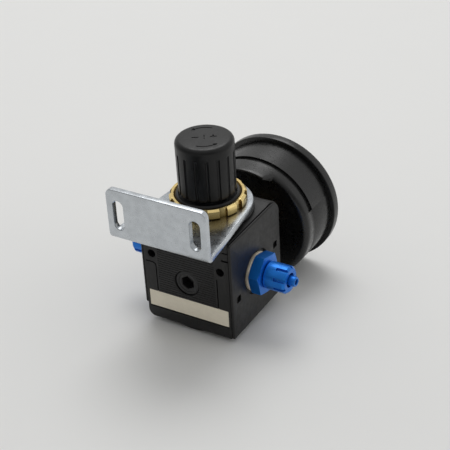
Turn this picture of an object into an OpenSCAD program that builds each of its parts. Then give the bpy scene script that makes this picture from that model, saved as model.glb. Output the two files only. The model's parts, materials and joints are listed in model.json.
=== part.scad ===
// Air pressure regulator, 40 mm module, with rear bracket, pressure gauge and tube fittings.
// Millimetres. +Z runs up along the knob, -Y is the gauge side, +Y is the bracket side, and the
// supply enters from -X and leaves at +X. The origin is the centre of the bottom cap's flat face.

/* [Body] */
// Width of the body over its side plates, along the ports
body_w = 40; // [39.5:0.1:41]
// Depth of the body, from the gauge face to the bracket face
body_d = 38.4; // [38:0.1:39]
// Height of the body without its bottom cap
body_h = 43.3; // [43.3:0.1:44]
// How far the bottom cap stands below the body
cap_h = 2; // [2:0.1:2.4]
// Radius of the bottom cap's flange
cap_r = 18; // [16:0.5:18]
// Thickness of the outer covers
skin_t = 1; // [0.9:0.1:1.1]
// Height of the four ports above the origin
port_z = 22.4; // [22.3:0.1:22.5]
// Radius of the port's thread bore
port_r = 4.75; // [4.7:0.05:4.8]
// Half the distance between the two through holes
hole_x = 15.2; // [15.1:0.1:15.3]
// Height of the two through holes
hole_z = 32; // [31.8:0.1:32.2]
// Radius of the two through holes
hole_r = 1.7; // [1.6:0.05:1.7]

/* [Knob] */
// Radius of the knob at its lower edge
knob_r = 11.15; // [11:0.05:11.2]
// Radius of the knob at its top
knob_top_r = 11.3; // [11.2:0.05:11.4]
// Height of the knob
knob_h = 21.95; // [21.7:0.05:22.1]
// Number of grooves around the knob
knob_grooves = 16; // [12:1:18]
// Lift that unlocks the knob
knob_lift = 2.5; // [2:0.5:2.5]
// Pitch of the adjusting screw
screw_pitch = 1; // [1:0.1:1]

/* [Bracket and nut] */
// Thickness of the bracket's sheet
bracket_t = 2.5; // [2.4:0.1:2.5]
// Distance from the knob axis to the bracket's wall face
wall_y = 35.85; // [35:0.05:37]
// Half the width of the bracket's wall plate
wall_half_w = 21.2; // [21:0.1:22]
// Height of the top edge of the wall plate
wall_top = 68.5; // [67:0.5:70]
// Half the distance between the bracket's two slots
slot_x = 16.3; // [16:0.1:16.5]
// Width of a slot
slot_w = 4.5; // [4.4:0.1:4.8]
// Length of a slot, end to end
slot_len = 12.2; // [11:0.1:12.5]
// Height of the middle of the slots
slot_z = 58; // [57.5:0.1:58.5]
// Outer radius of the ring nut
nut_r = 14.9; // [14.5:0.1:15]
// Height of the ring nut
nut_h = 4; // [3.8:0.1:4]
// Number of notches around the ring nut
nut_notches = 12; // [8:1:14]

/* [Fittings] */
// Width of the hexagon across its flats
hex_af = 15; // [14:0.5:15]
// Distance from the knob axis to the end of a tube nozzle
nozzle_end = 37.2; // [37:0.1:38]
// Radius of the tube nozzle
nozzle_r = 2; // [1.9:0.05:2]
// Outer radius of the union nut
union_r = 5.5; // [5.4:0.1:5.6]
// Number of slots around the open end of the union nut
union_slots = 8; // [6:1:8]

/* [Gauge] */
// Radius of the gauge's case
case_r = 26.1; // [26:0.1:26.4]
// Radius of the gauge's front rim
rim_r = 28.1; // [27.9:0.1:28.5]
// Distance from the knob axis to the front of the rim
gauge_front = 55.1; // [54.8:0.1:55.4]
// Distance from the knob axis to the back of the case
gauge_back = 31; // [30.9:0.1:31.1]
// Sweep of the pointer over the whole scale, in degrees
sweep = 270; // [260:5:270]

/* [Hidden] */
$fn = 96;

eps = 0.01;
body_top = cap_h + body_h;
half_w = body_w / 2;
half_d = body_d / 2;
core_w = half_w - skin_t;
core_d = half_d - skin_t;
front_edge_r = 5.5;
corner_r = 3;
front_cover_reach = half_d - front_edge_r;

// Inside of the body
valve_room_r = 7.5;
cap_bore_r = 10;
cap_bore_top = cap_h + 7;
seat_z = 22;
seat_t = 1.5;
orifice_r = 3.2;
upper_room_r = 9.5;
clamp_z = 31;
bonnet_bore_r = 13;
feed_z = 20;
outlet_z = 25.2;
feed_r = 2;
outlet_feed_r = 1.6;
port_depth = 8.5;

// Stack above the diaphragm
diaphragm_t = 0.9;
plate_z = clamp_z + diaphragm_t;
plate_t = 1.5;
bonnet_skirt_r = bonnet_bore_r - 0.08;
spring_room_r = 10.4;
boss_h = 1.5;
boss_top = body_top + boss_h;
plate_top = boss_top + bracket_t;
neck_r = 12.65;
neck_top = plate_top + nut_h + 0.4;
room_top = 48.6;
lid_top = 51.5;
spindle_bore_r = 4;
spindle_r = spindle_bore_r - 0.07;
screw_r = 2.9;
hex_r = 3.7;
spring_plate_top = 46.3;
spring_plate_t = 2;
spring_plate_hub = 4.4;
spring_seat_z = plate_z + plate_t;

// Knob
knob_z = neck_top + 0.95;
knob_top = knob_z + knob_h;
knob_wall = 1.7;
knob_roof = 2.4;

// Gauge, along the axis from the body's face outwards
rim_back = gauge_front - 4.2;
case_front = rim_back + 0.3;
case_wall = 1.5;
case_floor = 2;
window_y = gauge_front - 2.5;
window_t = 1.5;
dial_y = 47;
dial_r = 24.2;
pinion_teeth = 8;
gear_ratio = 7;
gear_module = 0.35;
pinion_pitch_r = gear_module * pinion_teeth / 2;
sector_pitch_r = pinion_pitch_r * gear_ratio;
sector_drop = pinion_pitch_r + sector_pitch_r;
tube_mean_r = 20;
tube_y = 36;
tip_angle = -20;
tube_end_angle = 257;
tail_angle = -10;
link_arm = 5;
tail_x = link_arm * cos(tail_angle);
tail_z = link_arm * sin(tail_angle) - sector_drop;
tip_x = tube_mean_r * cos(tip_angle);
tip_z = tube_mean_r * sin(tip_angle);
link_angle = atan2(tip_z - tail_z, tip_x - tail_x);
link_len = norm([tip_x - tail_x, tip_z - tail_z]);

// ---------- shared shapes ----------

// A solid of revolution that lies along -Y at the port height, from a profile of [radius, distance]
module along_gauge(profile) {
    translate([0, 0, port_z]) rotate([90, 0, 0]) rotate_extrude() polygon(profile);
}

// Places children at the port height with their own +Z along -Y
module gauge_axis(y = 0) {
    translate([0, -y, port_z]) rotate([90, 0, 0]) children();
}

// Places children on a side port: +Z of the children runs outwards along X
module side_axis(side) {
    translate([0, 0, port_z]) rotate([0, side * 90, 0]) children();
}

// A round bar along X from one side
module side_bore(side, from, to, r) {
    side_axis(side) translate([0, 0, from]) cylinder(h = to - from, r = r);
}

module ring(r_out, r_in, h) {
    difference() {
        cylinder(h = h, r = r_out);
        translate([0, 0, -eps]) cylinder(h = h + 2 * eps, r = r_in);
    }
}

module rounded_rect(w, h, r) {
    square([w - 2 * r, h], center = true);
    square([w, h - 2 * r], center = true);
    for (x = [-1, 1], y = [-1, 1])
        translate([x * (w / 2 - r), y * (h / 2 - r)]) circle(r = r);
}

// The slot's outline, standing upright
module slot_outline(w, len) {
    square([w, len - w], center = true);
    for (s = [-1, 1]) translate([0, s * (len - w) / 2]) circle(d = w);
}

// The body's outline seen along X, with the upper front edge rounded
module side_outline(half, bottom, top, edge_r) {
    union() {
        translate([-half, bottom]) square([2 * half, top - bottom - edge_r]);
        translate([-half + edge_r, bottom]) square([2 * half - edge_r, top - bottom]);
        translate([-half + edge_r, top - edge_r]) circle(r = edge_r);
    }
}

// Stretches an outline drawn in Y and Z along X
module across(x0, x1) {
    translate([x0, 0, 0]) rotate([90, 0, 90]) linear_extrude(x1 - x0) children();
}

// Cuts the rounded lower corner of the body on the outlet side
module lower_corner_cut() {
    translate([core_w - corner_r, half_d + 1, cap_h + corner_r]) rotate([90, 0, 0])
        linear_extrude(body_d + 2) difference() {
            translate([0, -corner_r - 1]) square(corner_r + 1);
            circle(r = corner_r);
        }
}

// The two through holes
module through_holes(y0, y1) {
    for (s = [-1, 1])
        translate([s * hole_x, y0, hole_z]) rotate([-90, 0, 0]) cylinder(h = y1 - y0, r = hole_r);
}

// A round wire wound into a helix about Z, closed at both ends
function helix_ring(k, n, turns, r, z0, z1, wire_r, sides) =
    let (a = 360 * turns * k / n,
         z = z0 + (z1 - z0) * k / n)
    [for (i = [0 : sides - 1])
        let (b = 360 * i / sides, rr = r + wire_r * cos(b))
        [rr * cos(a), rr * sin(a), z + wire_r * sin(b)]];

module coil(r, wire_r, z0, z1, turns, sides = 8, steps = 20) {
    n = round(turns * steps);
    points = [for (k = [0 : n]) each helix_ring(k, n, turns, r, z0, z1, wire_r, sides)];
    walls = [for (k = [0 : n - 1], i = [0 : sides - 1])
        let (j = (i + 1) % sides, a = k * sides, b = (k + 1) * sides)
        [a + i, b + i, b + j, a + j]];
    start = [for (i = [0 : sides - 1]) i];
    end = [for (i = [0 : sides - 1]) n * sides + sides - 1 - i];
    polyhedron(points = points, faces = concat(walls, [start, end]), convexity = 6);
}

// ---------- body ----------

module core_outline() {
    side_outline(core_d, cap_h, body_top - skin_t, front_edge_r - skin_t);
    translate([-front_cover_reach, cap_h]) square([front_cover_reach + core_d, body_h]);
}

module body() {
    color([0.16, 0.16, 0.17]) difference() {
        across(-core_w, core_w) core_outline();
        // Bottom: cap thread, valve room, seat, outlet room
        translate([0, 0, cap_h - eps]) cylinder(h = cap_bore_top - cap_h, r = cap_bore_r);
        translate([0, 0, cap_h]) cylinder(h = seat_z - cap_h, r = valve_room_r);
        translate([0, 0, seat_z - eps]) cylinder(h = seat_t + 1, r = orifice_r);
        translate([0, 0, seat_z + seat_t]) cylinder(h = clamp_z - seat_z, r = upper_room_r);
        translate([0, 0, clamp_z]) cylinder(h = body_top, r = bonnet_bore_r);
        // Ports
        for (s = [-1, 1]) side_bore(s, half_w - port_depth - skin_t, half_w, port_r);
        for (a = [0, 180]) rotate([0, 0, a]) gauge_axis(half_d - port_depth - skin_t)
            cylinder(h = half_d, r = port_r);
        translate([0, core_d - 1.2, port_z]) rotate([-90, 0, 0]) cylinder(h = 5, r = 5.3);
        // Feeds: the supply opens into the valve room, the others into the outlet room
        translate([-13, 0, feed_z]) rotate([0, 90, 0]) cylinder(h = 7, r = feed_r);
        for (a = [0, 90, 270]) rotate([0, 0, a])
            translate([8, 0, outlet_z]) rotate([0, 90, 0]) cylinder(h = 4, r = outlet_feed_r);
        through_holes(-half_d, half_d);
        lower_corner_cut();
    }
}

module front_cover() {
    color([0.09, 0.09, 0.10]) difference() {
        across(-core_w, core_w) difference() {
            side_outline(half_d, cap_h, body_top, front_edge_r);
            core_outline();
            translate([-front_cover_reach, 0]) square([100, 100]);
        }
        gauge_axis(core_d - 1) cylinder(h = 5, r = 9);
        through_holes(-half_d - 1, 0);
        lower_corner_cut();
        // Two upright grooves and a row of fine ribs above the port
        for (s = [-1, 1]) translate([s * 13.6 - 0.2, -half_d - eps, 8]) cube([0.4, 0.3, 28]);
        for (i = [0 : 5]) translate([-11, -half_d - eps, 8 + i]) cube([22, 0.3, 0.45]);
    }
}

// Label seat: lower edge, height and half width
label_z = 7.3;
label_h = 7.5;
label_half_w = 17.9;
// Plain side panels of the rear cover: inner edge, lower and upper edge
panel_x = 13.6;
panel_z0 = 16;
panel_z1 = 28.2;
cover_line = 0.4;
// Snap tabs of the rear cover: the gaps beside them
tab_heights = [37.5, 40.9];
tab_w = 2.2;
tab_gap = 0.5;
tab_gap_d = 0.6;
rib_step = 1.05;
rib_groove = 0.45;
rib_count = 26;

module rear_cover() {
    color([0.09, 0.09, 0.10]) difference() {
        translate([-core_w, core_d, cap_h]) cube([2 * core_w, skin_t, body_h - 0.3]);
        lower_corner_cut();
        translate([0, core_d - 1, port_z]) rotate([-90, 0, 0]) cylinder(h = 5, r = 5.3);
        through_holes(0, half_d + 1);
        translate([-label_half_w, half_d - 0.5, label_z]) cube([2 * label_half_w, 1, label_h]);
        // The outlet side's panel is closed at the top by a line as well
        translate([panel_x, half_d - cover_line, panel_z1 - cover_line])
            cube([core_w - panel_x - 0.8, 1, cover_line]);
        // A line beside each plain side panel, and snap tabs beside the upper corners
        for (s = [0, 1]) mirror([s, 0, 0]) {
            translate([panel_x - cover_line / 2, half_d - cover_line, panel_z0])
                cube([cover_line, 1, panel_z1 - panel_z0]);
            for (z = tab_heights)
                translate([core_w - tab_w, half_d - tab_gap_d, z]) cube([tab_w + 1, 1, tab_gap]);
        }
        // Fine ribs across the middle panel
        for (i = [0 : rib_count - 1])
            translate([1 - panel_x, half_d - 0.3, panel_z0 + 0.6 + i * rib_step])
                cube([2 * (panel_x - 1), 1, rib_groove]);
    }
}

module label_strip() {
    color([0.80, 0.77, 0.73])
        translate([-label_half_w + 0.1, half_d - 0.5, label_z + 0.1])
            cube([2 * label_half_w - 0.2, 0.4, label_h - 0.2]);
}

// Square catch windows in the side plates: [y, z]
catch_windows = [[-14.9, 25.9], [14.3, 18.4]];
catch_w = 2.8;
catch_d = 0.45;
washer_seat_r = 9.2;

module side_plate(side, bottom) {
    difference() {
        across(side > 0 ? core_w : -half_w, side > 0 ? half_w : -core_w)
            side_outline(half_d, bottom, body_top - 0.3, front_edge_r);
        side_bore(side, core_w - 1, half_w + 1, washer_seat_r);
        for (c = catch_windows)
            translate([side * half_w, c[0], c[1]]) cube([2 * catch_d, catch_w, catch_w], center = true);
    }
}

module inlet_side_plate() {
    color([0.09, 0.09, 0.10]) side_plate(-1, cap_h);
}

module outlet_side_plate() {
    color([0.09, 0.09, 0.10]) side_plate(1, cap_h + 5.8);
}

// ---------- bottom cap and valve ----------

guide_r = 2.46;
guide_z0 = 4;
guide_top = 12.2;
groove_r = 8.45;
groove_z = 5.4;
groove_h = 1.7;

module base_cap() {
    edge = 0.6;
    color([0.11, 0.11, 0.12]) difference() {
        union() {
            rotate_extrude() polygon(concat(
                [[0, 0], [cap_r - edge, 0]],
                [for (a = [-75 : 15 : 0]) [cap_r - edge + edge * cos(a), edge + edge * sin(a)]],
                [[cap_r, cap_h], [0, cap_h]]));
            cylinder(h = cap_bore_top - 0.1, r = cap_bore_r - 0.05);
            cylinder(h = guide_top, r = 4.6);
        }
        translate([0, 0, guide_z0]) cylinder(h = guide_top, r = guide_r);
        translate([0, 0, groove_z]) ring(cap_bore_r + 1, groove_r, groove_h);
        // Two blind holes for a pin wrench
        for (s = [-1, 1]) translate([s * 12.5, 0, -eps]) cylinder(h = 1.5, r = 1.25);
    }
}

module base_o_ring() {
    color([0.05, 0.05, 0.05]) translate([0, 0, groove_z + groove_h / 2])
        rotate_extrude() translate([groove_r + 0.76, 0]) circle(r = 0.75, $fn = 32);
}

poppet_head_r = 5;
poppet_head_z = 19.3;
seal_z = seat_z - 0.95;
stem_top = 29.25;

module valve_poppet() {
    color([0.78, 0.62, 0.30]) union() {
        translate([0, 0, 8.8]) cylinder(h = poppet_head_z - 8.8 + eps, r = guide_r - 0.06);
        translate([0, 0, poppet_head_z]) cylinder(h = seal_z - poppet_head_z, r = poppet_head_r);
        translate([0, 0, poppet_head_z]) cylinder(h = stem_top - poppet_head_z, r = 1.4);
    }
}

module valve_seal() {
    color([0.06, 0.06, 0.06]) translate([0, 0, seal_z]) ring(poppet_head_r - 0.3, 1.4, 0.9);
}

module valve_spring() {
    color([0.75, 0.75, 0.77])
        coil(3.7, 0.4, guide_top + 0.42, poppet_head_z - 0.42, 5);
}

// ---------- diaphragm stack and adjusting parts ----------

relief_r = 3.4;
relief_flange_r = 6;

module diaphragm() {
    color([0.15, 0.12, 0.10]) translate([0, 0, clamp_z]) difference() {
        union() {
            cylinder(h = diaphragm_t, r = bonnet_bore_r - 0.1);
            rotate_extrude() translate([8.2, 0.2]) circle(r = 0.5, $fn = 32);
        }
        translate([0, 0, -1]) cylinder(h = 3, r = relief_r + 0.05);
    }
}

module diaphragm_plate() {
    color([0.72, 0.73, 0.75]) translate([0, 0, plate_z + 0.02]) difference() {
        cylinder(h = plate_t - 0.04, r = 9.1);
        translate([0, 0, -1]) cylinder(h = 4, r = relief_r + 0.05);
    }
}

module relief_seat() {
    color([0.78, 0.62, 0.30]) difference() {
        union() {
            translate([0, 0, stem_top + 0.05])
                cylinder(h = clamp_z - stem_top - 0.1, r = relief_flange_r);
            translate([0, 0, stem_top + 0.05]) cylinder(h = 7, r = relief_r);
        }
        translate([0, 0, stem_top - 1]) cylinder(h = 10, r = 0.9);
    }
}

module centre_nut() {
    color([0.72, 0.73, 0.75]) translate([0, 0, spring_seat_z + 0.02]) difference() {
        cylinder(h = 2.2, r = 5.6, $fn = 6);
        translate([0, 0, -1]) cylinder(h = 5, r = relief_r + 0.02);
    }
}

module main_spring() {
    color([0.62, 0.63, 0.66])
        coil(7.8, 0.9, spring_seat_z + 0.95, spring_plate_top - spring_plate_t - 0.95, 4);
}

module spring_plate() {
    color([0.76, 0.70, 0.45]) translate([0, 0, spring_plate_top]) mirror([0, 0, 1]) difference() {
        union() {
            cylinder(h = spring_plate_t, r = spring_room_r - 0.3);
            cylinder(h = spring_plate_hub, r = 5.2);
        }
        translate([0, 0, -1]) cylinder(h = 10, r = screw_r + 0.06);
    }
}

module bonnet() {
    color([0.08, 0.08, 0.09]) difference() {
        union() {
            translate([0, 0, plate_z]) cylinder(h = body_top - plate_z + eps, r = bonnet_skirt_r);
            translate([0, 0, body_top]) cylinder(h = boss_h, r = 17.5);
            translate([0, 0, body_top]) cylinder(h = neck_top - body_top, r = neck_r);
        }
        translate([0, 0, plate_z - 1]) cylinder(h = room_top - plate_z + 1, r = spring_room_r);
        cylinder(h = 100, r = spindle_bore_r);
        translate([0, 0, lid_top]) cylinder(h = 10, r = 11.1);
    }
}

module spindle() {
    collar_z = spring_plate_top + 0.4;
    color([0.78, 0.79, 0.80]) union() {
        translate([0, 0, 40.2]) cylinder(h = collar_z - 40.2 + eps, r = screw_r);
        translate([0, 0, collar_z]) cylinder(h = room_top - collar_z - 0.1, r = 6.2);
        translate([0, 0, room_top - 0.2]) cylinder(h = lid_top - room_top + 0.2, r = spindle_r);
        translate([0, 0, lid_top - eps]) cylinder(h = 0.9, r = 3.2);
        translate([0, 0, lid_top + 0.8]) cylinder(h = 18.6, r = hex_r, $fn = 6);
    }
}

module retaining_clip() {
    color([0.35, 0.35, 0.37]) translate([0, 0, lid_top + 0.08]) difference() {
        cylinder(h = 0.7, r = 5.6);
        translate([0, 0, -1]) cylinder(h = 3, r = 3.2);
        translate([0, -1.8, -1]) cube([10, 3.6, 3]);
    }
}

module knob() {
    edge = 2;
    groove_top = knob_top - 4.7;
    flute_r = 0.7;
    shell_inner_r = 5.6;
    color([0.07, 0.07, 0.08]) difference() {
        rotate_extrude() polygon(concat(
            [[0, knob_z], [knob_r - 0.4, knob_z], [knob_r, knob_z + 0.4]],
            [for (a = [0 : 15 : 90])
                [knob_top_r - edge + edge * cos(a), knob_top - edge + edge * sin(a)]],
            [[0, knob_top]]));
        for (i = [0 : knob_grooves - 1])
            rotate([0, 0, (i + 0.5) * 360 / knob_grooves])
                translate([knob_r, 0, knob_z - 1])
                    cylinder(h = groove_top - knob_z + 1, r = flute_r, $fn = 24);
        // Hollow shell around a hub with a hexagon socket
        translate([0, 0, knob_z - 1])
            ring(knob_r - knob_wall, shell_inner_r, knob_h - knob_roof + 1);
        translate([0, 0, knob_z - 1]) cylinder(h = 4, r = shell_inner_r + 0.1);
        cylinder(h = knob_top - knob_roof, r = hex_r + 0.1, $fn = 6);
    }
}

// ---------- bracket and ring nut ----------

module ring_nut() {
    notch_w = 3.9;
    notch_d = 1.3;
    notch_start = 24;
    chamfer = 0.7;
    color([0.80, 0.66, 0.28]) difference() {
        translate([0, 0, plate_top]) rotate_extrude() polygon([
            [neck_r + 0.03, 0.3], [neck_r + 0.35, 0], [nut_r - 0.4, 0], [nut_r, 0.4],
            [nut_r, nut_h - chamfer], [nut_r - chamfer, nut_h], [neck_r + 0.4, nut_h],
            [neck_r + 0.03, nut_h - 0.4]]);
        for (i = [0 : nut_notches - 1])
            rotate([0, 0, notch_start + i * 360 / nut_notches])
                translate([nut_r - notch_d, -notch_w / 2, plate_top - 1]) cube([3, notch_w, nut_h + 2]);
    }
}

module bracket_plan() {
    round_r = 17.2;
    bend_y = wall_y - 3;
    circle(r = round_r);
    polygon([[-round_r, 0], [round_r, 0], [wall_half_w, bend_y], [-wall_half_w, bend_y]]);
}

module bracket() {
    bend_r = 3;
    inner_r = bend_r - bracket_t;
    leg_h = wall_top - boss_top;
    color([0.77, 0.79, 0.82]) difference() {
        union() {
            translate([0, 0, boss_top]) linear_extrude(bracket_t) bracket_plan();
            intersection() {
                across(-wall_half_w, wall_half_w) {
                    difference() {
                        translate([wall_y - bend_r, boss_top + bend_r]) circle(r = bend_r);
                        translate([wall_y - bend_r, boss_top + bend_r]) circle(r = inner_r);
                        translate([wall_y - 2 * bend_r - eps, boss_top - 1]) square([bend_r, 20]);
                        translate([0, boss_top + bend_r]) square([100, 20]);
                    }
                    translate([wall_y - bracket_t, boss_top + bend_r - eps])
                        square([bracket_t, leg_h - bend_r + eps]);
                }
                translate([0, wall_y + 10, boss_top + leg_h / 2]) rotate([90, 0, 0])
                    linear_extrude(20) rounded_rect(2 * wall_half_w, leg_h, 2.7);
            }
            // The lower corners of the wall plate stay square, where the sheet bends
            for (s = [-1, 1]) translate([s * (wall_half_w - 2.7) - (s > 0 ? 0 : 2.7), 0, 0])
                across(0, 2.7) intersection() {
                    difference() {
                        union() {
                            translate([wall_y - bend_r, boss_top + bend_r]) circle(r = bend_r);
                            translate([wall_y - bracket_t, boss_top + bend_r]) square([bracket_t, 2]);
                        }
                        translate([wall_y - bend_r, boss_top + bend_r]) circle(r = inner_r);
                        translate([wall_y - 2 * bend_r, boss_top + bend_r])
                            square([2 * bend_r - bracket_t, 9]);
                    }
                    translate([wall_y - bend_r, boss_top]) square([bend_r, 9]);
                }
        }
        translate([0, 0, boss_top - 1]) cylinder(h = 6, r = neck_r + 0.35);
        for (s = [-1, 1]) translate([s * slot_x, wall_y + 5, slot_z]) rotate([90, 0, 0])
            linear_extrude(10) slot_outline(slot_w, slot_len);
    }
}

// ---------- ports, plug and tube fittings ----------

module rear_port_plug() {
    color([0.20, 0.20, 0.21]) difference() {
        union() {
            translate([0, core_d - 6.2, port_z]) rotate([-90, 0, 0]) cylinder(h = 5.6, r = port_r - 0.05);
            translate([0, core_d - 0.7, port_z]) rotate([-90, 0, 0]) cylinder(h = 1.3, r = 5.15);
        }
        translate([0, core_d - 3.9, port_z]) rotate([-90, 30, 0]) cylinder(h = 6, r = 2.9, $fn = 6);
    }
}

module rear_plug_seal() {
    color([0.06, 0.06, 0.06]) translate([0, core_d - 1.2, port_z]) rotate([-90, 0, 0])
        ring(5.15, port_r - 0.05, 0.5);
}

washer_x0 = half_w - skin_t;
washer_t = 1.5;
washer_r = 7.9;
fit_hex_x0 = washer_x0 + washer_t;
fit_hex_x1 = half_w + 5;
nose_r = 4.25;
nose_h = 5.6;
hex_turn = 12;
nut_x0 = fit_hex_x1 + 0.3;
nut_x1 = half_w + 14.6;

module fitting() {
    bore_r = 1.2;
    difference() {
        union() {
            translate([0, 0, washer_x0 - 6.6]) cylinder(h = 7.6, r = port_r - 0.05);
            translate([0, 0, washer_x0]) cylinder(h = washer_t + eps, r = port_r - 0.15);
            intersection() {
                translate([0, 0, fit_hex_x0]) rotate([0, 0, hex_turn])
                    cylinder(h = fit_hex_x1 - fit_hex_x0, r = hex_af / 2 / cos(30), $fn = 6);
                // The chamfer that rounds the hexagon's corners at the outer end
                rotate_extrude() polygon([[0, fit_hex_x0], [hex_af, fit_hex_x0],
                    [hex_af, fit_hex_x1 - 3.1], [hex_af / 2 + 0.1, fit_hex_x1], [0, fit_hex_x1]]);
            }
            translate([0, 0, fit_hex_x1 - eps]) cylinder(h = nose_h, r = nose_r);
            translate([0, 0, fit_hex_x1 + 1]) cylinder(h = nozzle_end - fit_hex_x1 - 1, r = nozzle_r);
        }
        translate([0, 0, 5]) cylinder(h = 40, r = bore_r);
    }
}

module union_nut() {
    slot_w = 1;
    slot_x = nut_x0 + 4.4;
    difference() {
        rotate_extrude() polygon([
            [nose_r + 0.3, nut_x0], [union_r - 0.3, nut_x0], [union_r, nut_x0 + 0.3],
            [union_r, nut_x1 - 0.9], [union_r - 0.7, nut_x1], [nozzle_r + 0.9, nut_x1],
            [nozzle_r + 0.9, nut_x1 - 2.6], [nose_r + 0.3, fit_hex_x1 + 6.2]]);
        for (i = [0 : union_slots - 1])
            rotate([0, 0, (i + 0.5) * 360 / union_slots])
                translate([union_r - 1, -slot_w / 2, slot_x]) cube([3, slot_w, 12]);
    }
}

module washer() {
    translate([0, 0, washer_x0]) ring(washer_r, port_r, washer_t);
}

module inlet_fitting() {
    color([0.05, 0.36, 0.78]) side_axis(-1) fitting();
}

module inlet_washer() {
    color([0.76, 0.68, 0.58]) side_axis(-1) washer();
}

module inlet_union_nut() {
    color([0.05, 0.40, 0.85]) side_axis(-1) union_nut();
}

module outlet_fitting() {
    color([0.05, 0.36, 0.78]) side_axis(1) fitting();
}

module outlet_washer() {
    color([0.76, 0.68, 0.58]) side_axis(1) washer();
}

module outlet_union_nut() {
    color([0.05, 0.40, 0.85]) side_axis(1) union_nut();
}

// ---------- gauge ----------

socket_face = gauge_back + case_floor;
gauge_hex_y = half_d + 1.4;
block_t = 4.5;

module gauge_socket() {
    color([0.78, 0.62, 0.30]) difference() {
        union() {
            // Threaded end, hexagon, neck through the case
            gauge_axis(core_d - 6.6) cylinder(h = 8.4, r = port_r - 0.05);
            gauge_axis(gauge_hex_y) rotate([0, 0, 30]) cylinder(h = 5.6, r = 7 / cos(30), $fn = 6);
            gauge_axis(gauge_hex_y) cylinder(h = socket_face - gauge_hex_y + 0.6, r = 5);
            // Block inside the case, which carries the tube's fixed end
            translate([-4, -socket_face - block_t, port_z - 21.5]) cube([8, block_t, 26.5]);
        }
        gauge_axis(5) cylinder(h = 31, r = 1.5);
    }
}

module gauge_washer() {
    color([0.72, 0.45, 0.22]) gauge_axis(core_d + 0.2) ring(6.4, port_r, gauge_hex_y - core_d - 0.25);
}

module wedge(half_angle) {
    reach = 60;
    polygon([[0, 0], [reach, -reach * tan(half_angle)], [reach, reach * tan(half_angle)]]);
}

module gauge_case() {
    edge = 3;
    back = gauge_back;
    groove_half_angle = 71.5;
    groove_y = 34.9;
    groove_w = 2.8;
    groove_d = 0.9;
    stop_y = back - 4.3;
    stop_edge = 0.8;
    stop_inner_r = case_r - 1.9;
    stop_half_angle = 22;
    color([0.07, 0.07, 0.08]) difference() {
        union() {
            along_gauge(concat(
                [[0, back], [case_r - edge, back]],
                [for (a = [-75 : 15 : 0]) [case_r - edge + edge * cos(a), back + edge + edge * sin(a)]],
                [[case_r, groove_y], [case_r - groove_d, groove_y],
                 [case_r - groove_d, groove_y + groove_w], [case_r, groove_y + groove_w],
                 [case_r, case_front], [0, case_front]]));
            // The groove runs only around the upper half
            difference() {
                gauge_axis(groove_y) ring(case_r, case_r - groove_d - 0.1, groove_w);
                for (s = [-1, 1]) gauge_axis(30) rotate([0, 0, 90 + s * groove_half_angle / 2])
                    linear_extrude(12) wedge(groove_half_angle / 2 + 0.5);
            }
            // Lip at the top of the back
            intersection() {
                along_gauge([[stop_inner_r, stop_y], [case_r - stop_edge, stop_y],
                    [case_r, stop_y + stop_edge], [case_r, back + edge], [stop_inner_r, back + edge]]);
                gauge_axis(stop_y) rotate([0, 0, 90]) linear_extrude(20) wedge(stop_half_angle);
            }
        }
        gauge_axis(back + case_floor) cylinder(h = 40, r = case_r - case_wall);
        gauge_axis(back - 1) cylinder(h = 10, r = 5.15);
    }
}

module gauge_bezel() {
    color([0.07, 0.07, 0.08]) along_gauge([
        [case_r - case_wall + 0.1, case_front],
        [rim_r - 0.3, case_front + 0.15], [rim_r, case_front + 0.45], [rim_r, gauge_front - 0.5],
        [rim_r - 0.5, gauge_front], [rim_r - 2.9, gauge_front], [rim_r - 4.1, gauge_front - 1.4],
        [rim_r - 4.1, window_y + 0.02], [case_r - case_wall + 0.1, window_y + 0.02]]);
}

module gauge_window() {
    color([0.85, 0.92, 0.95, 0.35]) gauge_axis(window_y - window_t)
        cylinder(h = window_t, r = case_r - case_wall);
}

module gauge_seal() {
    color([0.05, 0.05, 0.05]) gauge_axis(window_y - window_t - 1)
        ring(case_r - case_wall - 0.05, 23, 0.98);
}

module gauge_dial() {
    color([0.93, 0.93, 0.91]) difference() {
        gauge_axis(dial_y) cylinder(h = 0.5, r = dial_r);
        gauge_axis(dial_y - 1) cylinder(h = 3, r = 1);
        for (s = [-1, 1]) gauge_axis(dial_y - 1) translate([s * 5.5, 0, 0]) cylinder(h = 3, r = 0.6);
    }
}

zero_angle = 225;

module gauge_pointer() {
    thick = 0.4;
    color([0.05, 0.05, 0.05]) gauge_axis(dial_y + 1.6) difference() {
        union() {
            rotate([0, 0, zero_angle]) linear_extrude(thick)
                polygon([[0, -0.9], [8, -0.7], [17.5, -0.2], [17.5, 0.2], [8, 0.7], [0, 0.9]]);
            rotate([0, 0, zero_angle]) linear_extrude(thick)
                polygon([[0, -0.7], [-6.5, -1.5], [-6.5, 1.5], [0, 0.7]]);
            cylinder(h = 0.9, r = 1.9);
        }
        translate([0, 0, -1]) cylinder(h = 3, r = 0.6);
    }
}

// A gear's outline: straight-sided teeth, thinner than their gaps so that the pair turns freely
module gear_outline(teeth, first, last, pitch_r, m) {
    step = 360 / teeth;
    root = pitch_r - 1.25 * m;
    tip = pitch_r + 0.75 * m;
    circle(r = root, $fn = 48);
    for (i = [first : last]) rotate([0, 0, i * step]) polygon([
        [root - 0.3, -0.62 * m], [root + 0.1, -0.62 * m], [tip, -0.32 * m],
        [tip, 0.32 * m], [root + 0.1, 0.62 * m], [root - 0.3, 0.62 * m]]);
}

gear_y = 41.9;
gear_t = 1.2;

module pinion_shaft() {
    color([0.78, 0.62, 0.30]) union() {
        gauge_axis(38.6) cylinder(h = dial_y + 2.4 - 38.6, r = 0.55);
        gauge_axis(gear_y - 0.3) linear_extrude(gear_t + 0.6)
            gear_outline(pinion_teeth, 0, pinion_teeth - 1, pinion_pitch_r, gear_module);
    }
}

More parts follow.
